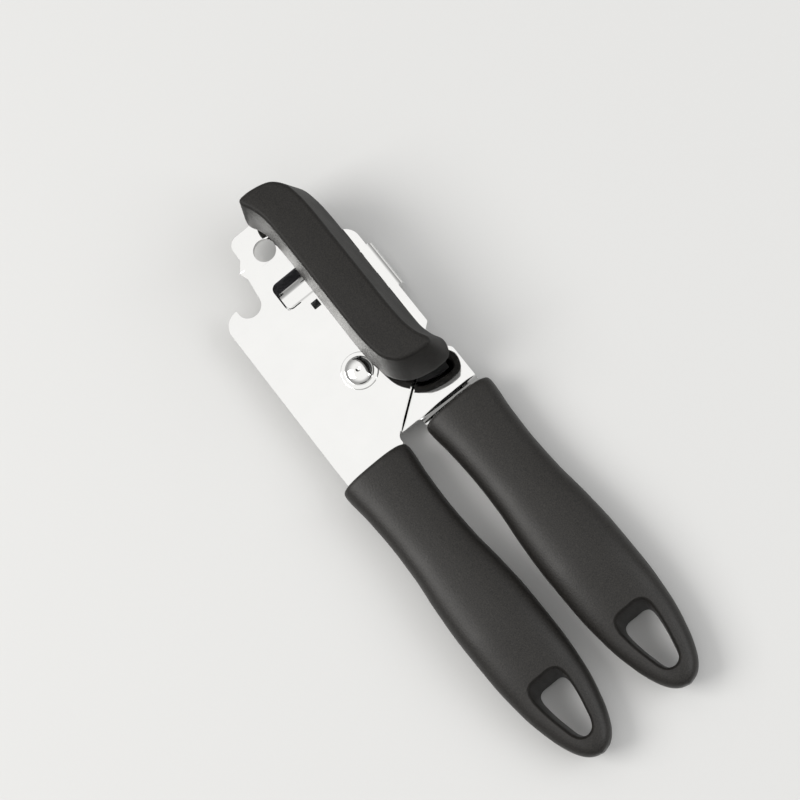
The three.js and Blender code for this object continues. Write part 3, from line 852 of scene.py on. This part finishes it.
def grip_form(inset, start, end, sides):
    """A grip's form drawn in by inset; inside the collar's lip it keeps its full size."""
    lip = GRIP_LIP if inset else 0.0
    loops = []
    for place in grip_stations(start, end):
        section = grip_section(max(place, lip), inset, sides)
        loops.append([(x, -place, z) for x, _, z in section])
    return lofted(loops)


def block(low, high):
    corners = ((low[0], low[1]), (high[0], low[1]), (high[0], high[1]), (low[0], high[1]))
    return slab([Vector(corner) for corner in corners], [], low[2], high[2])


def grip_shell(side):
    shell = linked(f"{side}_grip_skin", grip_form(0.0, 0.0, GRIP_LENGTH, GRIP_SIDES))
    room = linked("room", grip_form(GRIP_WALL, -2.0, INSERT_LENGTH + 0.8, INSERT_SIDES))
    return carved(shell, room, hang_cutter())


def grip_insert(side):
    """The insert, with a slot that the tang slides into."""
    inset = GRIP_WALL + INSERT_GAP
    form = grip_form(inset, INSERT_START, INSERT_LENGTH, INSERT_SIDES)
    insert = linked(f"{side}_grip_core", form)
    reach = TANG["half"] + INSERT_GAP
    depth = GRIP_START - TANG["end"] + 1.0
    low = (-reach, -depth, TANG_BACK - INSERT_GAP)
    high = (reach, 2.0, TANG_BACK + SHEET + INSERT_GAP)
    return carved(insert, linked("slot", block(low, high)))


# ------------------------------------------------------------------ knob

# Half of the knob's outline; the other half is the same, turned half a turn about the shaft.
KNOB_HALF = [
    (-6.55, 8), (-6.55, -8), (-6.5, -21), (-6, -27.5), (-5, -32), (-3, -35), (-1, -36.6),
    (3.2, -37.9), (7.2, -38.3), (9.6, -37.9), (9.9, -36.6), (8.3, -33), (7.1, -28.5), (6.6, -21),
]
KNOB_FLARE = 3.35  # how much further out the foot of the walls stands than their top
KNOB_WALL = 2.4
KNOB_ROOF = 2.6
KNOB_FOOT = 0.55
KNOB_SAMPLES = 240


def knob_loop(grow, z):
    """The knob's outline at a height, its control points pushed out by grow."""
    half = [Vector(point) for point in KNOB_HALF]
    controls = pushed(half + [-point for point in half], grow)
    return [(p.x, p.y, z) for p in evenly(centripetal(controls), KNOB_SAMPLES)]


def knob_flare(z):
    return KNOB_FLARE * (KNOB_TOP - z) / (KNOB_TOP - KNOB_BASE)


def fillet(radius, count):
    """Pairs of (drawn in, down from the top) round a quarter circle, from the wall to the top."""
    turns = [math.pi / 2 * index / count for index in range(count + 1)]
    return [(radius * (1 - math.cos(turn)), radius * (1 - math.sin(turn))) for turn in turns]


def knob_cover_mesh():
    """The knob as one skin: down the inside from the roof, round the foot, and up over the top."""
    radius = sizes().knob_edge / MM
    ceiling = KNOB_TOP - KNOB_ROOF
    loops = [knob_loop(knob_flare(ceiling) - KNOB_WALL - 0.4, ceiling)]
    for z in (ceiling - 0.3, 27.0, 22.0, KNOB_BASE + 3.2, KNOB_BASE + 0.6):
        loops.append(knob_loop(knob_flare(z) - KNOB_WALL, z))
    loops.append(knob_loop(knob_flare(KNOB_BASE) - KNOB_WALL + 0.35, KNOB_BASE))
    for drawn, up in reversed(fillet(KNOB_FOOT, 4)):
        z = KNOB_BASE + up
        loops.append(knob_loop(knob_flare(z) - drawn, z))
    for z in spread(KNOB_BASE + 2, KNOB_TOP - radius - 0.6, 6):
        loops.append(knob_loop(knob_flare(z), z))
    for drawn, down in fillet(radius, 8):
        z = KNOB_TOP - down
        loops.append(knob_loop(knob_flare(z) - drawn, z))
    return lofted(loops)


# ------------------------------------------------------------------ turned parts

# Profiles of [radius, z], in millimetres.
RIVET = [
    (0, 4.1), (3.2, 4.1), (3.9, 4.35), (4.3, 4.8), (4.3, 5.1), (2.8, 5.1), (2.8, 11.2),
    (4.8, 11.2), (4.8, 11.45), (4.65, 11.85), (4.3, 12.25), (3.8, 12.6), (3.1, 12.92),
    (2.3, 13.13), (1.5, 13.25), (0.9, 13.28), (0.65, 13.2), (0.45, 13.02), (0, 12.95),
]
SHAFT = [
    (2.2, 5.5), (3.0, 5.5), (3.0, 12.3), (5.0, 12.3), (5.0, 13.7), (3.4, 13.7), (3.4, 17.0),
    (2.5, 17.5), (2.5, 27.6), (0, 28.1),
]
THREAD = {"turns": 6, "start": 0.7, "pitch": 0.35, "root": 1.9, "crest": 2.2}
BUSH = [
    (3.2, 6.0), (5.0, 6.0), (5.0, 8.8), (4.5, 8.8), (4.5, 10.6), (5.3, 10.6), (5.3, 11.0),
    (5.0, 11.2), (3.2, 11.2),
]
SPRING_WASHER = [(3.3, 11.9), (5.2, 11.3), (5.2, 11.6), (3.3, 12.2)]
CUTTER_SCREW = [
    (0, 0.1), (3.4, 0.1), (3.9, 0.5), (3.9, 0.8), (2.1, 0.8), (2.1, 7.5), (3.2, 7.5), (2.9, 8.2),
    (0, 8.4),
]
SCREW_SLOT = ((-6, -0.5, -1), (6, 0.5, 0.55))
WHEEL_BORE = 2.4
WASHER_OUTER = 4.2
CUTTER_RADIUS = 9.0
FEED_TEETH = {"count": 22, "root": 6.2, "tip": 7.0}
NUT = {"radius": 4.6, "corner": 0.5, "edge": 0.00025}


def shaft_profile():
    """The shaft's profile, with ridges for the thread at its lower end."""
    ridges = []
    for turn in range(THREAD["turns"]):
        z = THREAD["start"] + THREAD["pitch"] * turn
        ridges += [(THREAD["root"], z), (THREAD["crest"], z + 0.17)]
    return [(0, 0.4), (1.7, 0.4), *ridges, *SHAFT]


def feed_wheel_mesh():
    count, root, tip = FEED_TEETH["count"], FEED_TEETH["root"], FEED_TEETH["tip"]
    flanks = ((-0.32, root, 0.15), (-0.1, tip, 0.1), (0.1, tip, 0.1), (0.32, root, 0.15))
    corners = []
    for tooth in range(count):
        for share, radius, corner in flanks:
            angle = 2 * math.pi * (tooth + share) / count
            corners.append((radius * math.cos(angle), radius * math.sin(angle), corner))
    return slab(rounded(corners, 20), [circle(0, 0, WHEEL_BORE)], *levels("feed_wheel"))


def nut_mesh():
    corners = []
    for index in range(6):
        angle = math.pi / 3 * index
        x, y = NUT["radius"] * math.cos(angle), NUT["radius"] * math.sin(angle)
        corners.append((x, y, NUT["corner"]))
    return slab(rounded(corners), [circle(0, 0, WHEEL_BORE)], *levels("feed_wheel_nut"))


def cutting_wheel_mesh():
    """A disc with a bevel on its lower side, up to a sharp rim."""
    low, high = levels("cutting_wheel")
    return turned([
        (WHEEL_BORE, low), (7.1, low), (7.35, low + 0.04), (CUTTER_RADIUS, high - 0.15),
        (CUTTER_RADIUS, high), (WHEEL_BORE, high),
    ], 160)


# ------------------------------------------------------------------ operators


class OPENER_OT_front_plate(bpy.types.Operator):
    """Front plate: hook, neck, hang hole, lanced guide, folded flange and left tang"""

    bl_idname = "opener.front_plate"
    bl_label = "Front plate"

    def execute(self, context):
        plate = linked("front_plate", front_plate_mesh())
        finished(plate, "polished_steel", "left_arm", "upper_plate", PIVOT,
                 edge=sizes().plate_edge)
        return {"FINISHED"}


class OPENER_OT_rear_plate(bpy.types.Operator):
    """Rear plate: the lobe that carries the cutter, and the right tang"""

    bl_idname = "opener.rear_plate"
    bl_label = "Rear plate"

    def execute(self, context):
        plate = linked("rear_plate", rear_plate_mesh())
        finished(plate, "polished_steel", "right_arm", "lower_plate", PIVOT,
                 edge=sizes().plate_edge, skin="rear_steel_with_painted_shade")
        return {"FINISHED"}


class OPENER_OT_grips(bpy.types.Operator):
    """Both grips: a soft skin with a hang hole, and the hard core round the tang"""

    bl_idname = "opener.grips"
    bl_label = "Grips"

    def execute(self, context):
        for side in ("left", "right"):
            body = f"{side}_arm"
            at = PIVOT + Vector((GRIP_X[side], GRIP_START))
            finished(grip_shell(side), "soft_black", body, f"{side}_grip_shell", at, GRIP_LEAN)
            finished(grip_insert(side), "hard_black", body, f"{side}_grip_insert", at, GRIP_LEAN,
                     edge=INSERT_EDGE)
        return {"FINISHED"}


class OPENER_OT_pivot(bpy.types.Operator):
    """The domed rivet and its three washers"""

    bl_idname = "opener.pivot"
    bl_label = "Pivot"

    def execute(self, context):
        finished(linked("rivet", turned(RIVET, 128)), "polished_steel", "left_arm", "pivot_rivet",
                 PIVOT, sharp=40)
        rows = (
            ("rivet_ring", "pivot_front_washer", 6.2, "polished_steel"),
            ("plate_spacer", "pivot_mid_washer", 6.5, "zinc_steel"),
            ("rivet_back_ring", "pivot_back_washer", 5.6, "zinc_steel"),
        )
        for name, node, outer, slot in rows:
            washer = linked(name, ring(RIVET_BORE + 0.1, outer, *levels(node)))
            finished(washer, slot, "left_arm", node, PIVOT, edge=sizes().pivot_edge)
        return {"FINISHED"}


class OPENER_OT_knob(bpy.types.Operator):
    """The turning knob and the hard insert that grips the shaft inside it"""

    bl_idname = "opener.knob"
    bl_label = "Knob"

    def execute(self, context):
        finished(linked("knob", knob_cover_mesh()), "soft_black", "crank", "knob_cover", CRANK,
                 sharp=50, skin="knob_black")
        dress("knob_insert", "hard_black", 0.0002)
        return {"FINISHED"}


def dress(node, slot, edge):
    """Gives a carried-over CAD node its finish and softens its edges."""
    piece = frame["nodes"][node]
    piece.data.materials.clear()
    piece.data.materials.append(finish_of(slot))
    modifier = piece.modifiers.new("edge", "BEVEL")
    modifier.width = edge
    modifier.segments = 2
    modifier.limit_method = "ANGLE"
    modifier.angle_limit = math.radians(40)


class OPENER_OT_crank(bpy.types.Operator):
    """Shaft, bush, spring washer, feed wheel, its washer and nut"""

    bl_idname = "opener.crank"
    bl_label = "Crank"

    def execute(self, context):
        edge = sizes().washer_edge
        shaft = linked("shaft", turned(shaft_profile()))
        finished(shaft, "zinc_steel", "crank", "crank_shaft", CRANK, edge=edge / 2)
        bush = linked("bush", turned(BUSH))
        finished(bush, "zinc_steel", "left_arm", "crank_bushing", CRANK, edge=edge)
        spring = linked("spring_washer", turned(SPRING_WASHER))
        finished(spring, "zinc_steel", "crank", "crank_spring_washer", CRANK, edge=edge / 2)
        washer = linked("feed_washer", ring(WHEEL_BORE, WASHER_OUTER, *levels("feed_wheel_washer")))
        finished(washer, "zinc_steel", "crank", "feed_wheel_washer", CRANK, edge=edge)
        teeth = linked("feed_teeth", feed_wheel_mesh())
        finished(teeth, "hardened_steel", "crank", "feed_wheel", CRANK, edge=edge, segments=2)
        nut = linked("lock_nut", nut_mesh())
        finished(nut, "zinc_steel", "crank", "feed_wheel_nut", CRANK, edge=NUT["edge"])
        dress("crank_pin", "hardened_steel", 0.0001)
        return {"FINISHED"}


class OPENER_OT_cutter(bpy.types.Operator):
    """The cutting wheel, its screw, spacer and washer"""

    bl_idname = "opener.cutter"
    bl_label = "Cutter"

    def execute(self, context):
        edge = sizes().washer_edge
        wheel = linked("cutting_disc", cutting_wheel_mesh())
        finished(wheel, "hardened_steel", "cutter", "cutting_wheel", CUTTER,
                 edge=edge / 4, sharp=25)
        screw = linked("cutter_screw", turned(CUTTER_SCREW))
        carved(screw, linked("screw_slot", block(*SCREW_SLOT)))
        finished(screw, "zinc_steel", "right_arm", "cutter_axle", CUTTER, edge=edge / 2)
        rows = (
            ("cutter_bush", "cutter_spacer", WASHER_OUTER),
            ("cutter_ring", "cutter_washer", 3.9),
        )
        for name, node, outer in rows:
            piece = linked(name, ring(WHEEL_BORE, outer, *levels(node)))
            finished(piece, "zinc_steel", "right_arm", node, CUTTER, edge=edge / 2)
        return {"FINISHED"}


# ------------------------------------------------------------------ stage


# Brightness of the studio's walls against the height that they are seen at, from the horizon up.
HORIZON = 0.32
WALLS = ((0.25, 0.34), (0.55, 0.52))
CEILING_FROM = 0.85
CAMERA_LENS = 94.5
CAMERA_PLACE = (0.03242, -0.16042, 0.65185)
CAMERA_AIM = (0.00152, 0.02519, 0.0)
CAMERA_ROLL = math.radians(-48.067)


def area_light(name, place, size, power, colour):
    """A rectangular light that points at the origin."""
    light = bpy.data.lights.new(name, "AREA")
    light.shape = "RECTANGLE"
    light.size, light.size_y = size
    light.energy = power
    light.color = colour
    lamp = bpy.data.objects.new(name, light)
    bpy.context.scene.collection.objects.link(lamp)
    lamp.location = place
    lamp.rotation_euler = (-Vector(place)).to_track_quat("-Z", "Y").to_euler()


class OPENER_OT_stage(bpy.types.Operator):
    """Pale floor, soft studio light and the camera"""

    bl_idname = "opener.stage"
    bl_label = "Stage"

    def execute(self, context):
        half = sizes().floor_size / MM / 2
        floor = linked("floor", block((-half, -half, -1.0), (half, half, -0.02)))
        tint = tuple(colours().floor)
        paper = Finish("paper", tint, 0.8)
        fibre = paper.noise(900, 3)
        material = paper.finished(paper.between(fibre, shade(tint, 0.985), tint),
                                  normal=paper.bump(fibre, 0.00002, 0.2))
        floor.data.materials.append(material)
        self.light(context.scene)
        self.camera(context.scene)
        return {"FINISHED"}

    def light(self, scene):
        world = bpy.data.worlds.new("studio")
        world.use_nodes = True
        nodes, links = world.node_tree.nodes, world.node_tree.links
        sky = nodes["Background"]
        sky.inputs["Color"].default_value = (1.0, 0.995, 0.985, 1)
        split = nodes.new("ShaderNodeSeparateXYZ")
        links.new(nodes.new("ShaderNodeTexCoord").outputs["Generated"], split.inputs["Vector"])
        ramp = nodes.new("ShaderNodeValToRGB")
        steps = ramp.color_ramp.elements
        for place, level in WALLS:
            steps.new(place).color = (level, level, level, 1)
        steps[0].color = (HORIZON, HORIZON, HORIZON, 1)
        steps[-1].position = CEILING_FROM
        links.new(split.outputs["Z"], ramp.inputs["Fac"])
        links.new(ramp.outputs["Color"], sky.inputs["Strength"])
        scene.world = world
        scene.view_settings.view_transform = "Standard"
        area_light("key", (-0.9, 0.5, 1.1), (0.9, 0.9), 16, (1, 0.99, 0.97))
        area_light("fill", (1.0, -0.6, 0.9), (1.2, 0.8), 9, (0.98, 0.99, 1))

    def camera(self, scene):
        lens = bpy.data.cameras.new("view")
        lens.lens = CAMERA_LENS
        lens.sensor_width = 36
        camera = bpy.data.objects.new("view", lens)
        scene.collection.objects.link(camera)
        place = Vector(CAMERA_PLACE)
        upright = (Vector(CAMERA_AIM) - place).to_track_quat("-Z", "Y").to_matrix().to_4x4()
        roll = Matrix.Rotation(CAMERA_ROLL, 4, "Z")
        camera.matrix_world = Matrix.Translation(place) @ upright @ roll
        scene.camera = camera


class OPENER_PT_sidebar(bpy.types.Panel):
    """Lists the pieces of the opener and the values that they are made from"""

    bl_label = "Can opener"
    bl_idname = "OPENER_PT_sidebar"
    bl_space_type = "VIEW_3D"
    bl_region_type = "UI"
    bl_category = "Can opener"

    def draw(self, context):
        layout = self.layout
        for group in (context.scene.opener_sizes, context.scene.opener_colours):
            column = layout.column()
            for name in group.__annotations__:
                column.prop(group, name)
        for piece in PIECES:
            layout.operator(piece.bl_idname)


PIECES = (
    OPENER_OT_front_plate,
    OPENER_OT_rear_plate,
    OPENER_OT_grips,
    OPENER_OT_pivot,
    OPENER_OT_knob,
    OPENER_OT_crank,
    OPENER_OT_cutter,
    OPENER_OT_stage,
)
CLASSES = (OpenerSizes, OpenerColours, *PIECES, OPENER_PT_sidebar)


def register():
    for one in CLASSES:
        bpy.utils.register_class(one)
    bpy.types.Scene.opener_sizes = bpy.props.PointerProperty(type=OpenerSizes)
    bpy.types.Scene.opener_colours = bpy.props.PointerProperty(type=OpenerColours)


def unregister():
    del bpy.types.Scene.opener_sizes
    del bpy.types.Scene.opener_colours
    for one in reversed(CLASSES):
        bpy.utils.unregister_class(one)


def main():
    """Builds every piece in order."""
    register()
    for piece in PIECES:
        group, name = piece.bl_idname.split(".")
        getattr(getattr(bpy.ops, group), name)()


if __name__ == "__main__":
    main()
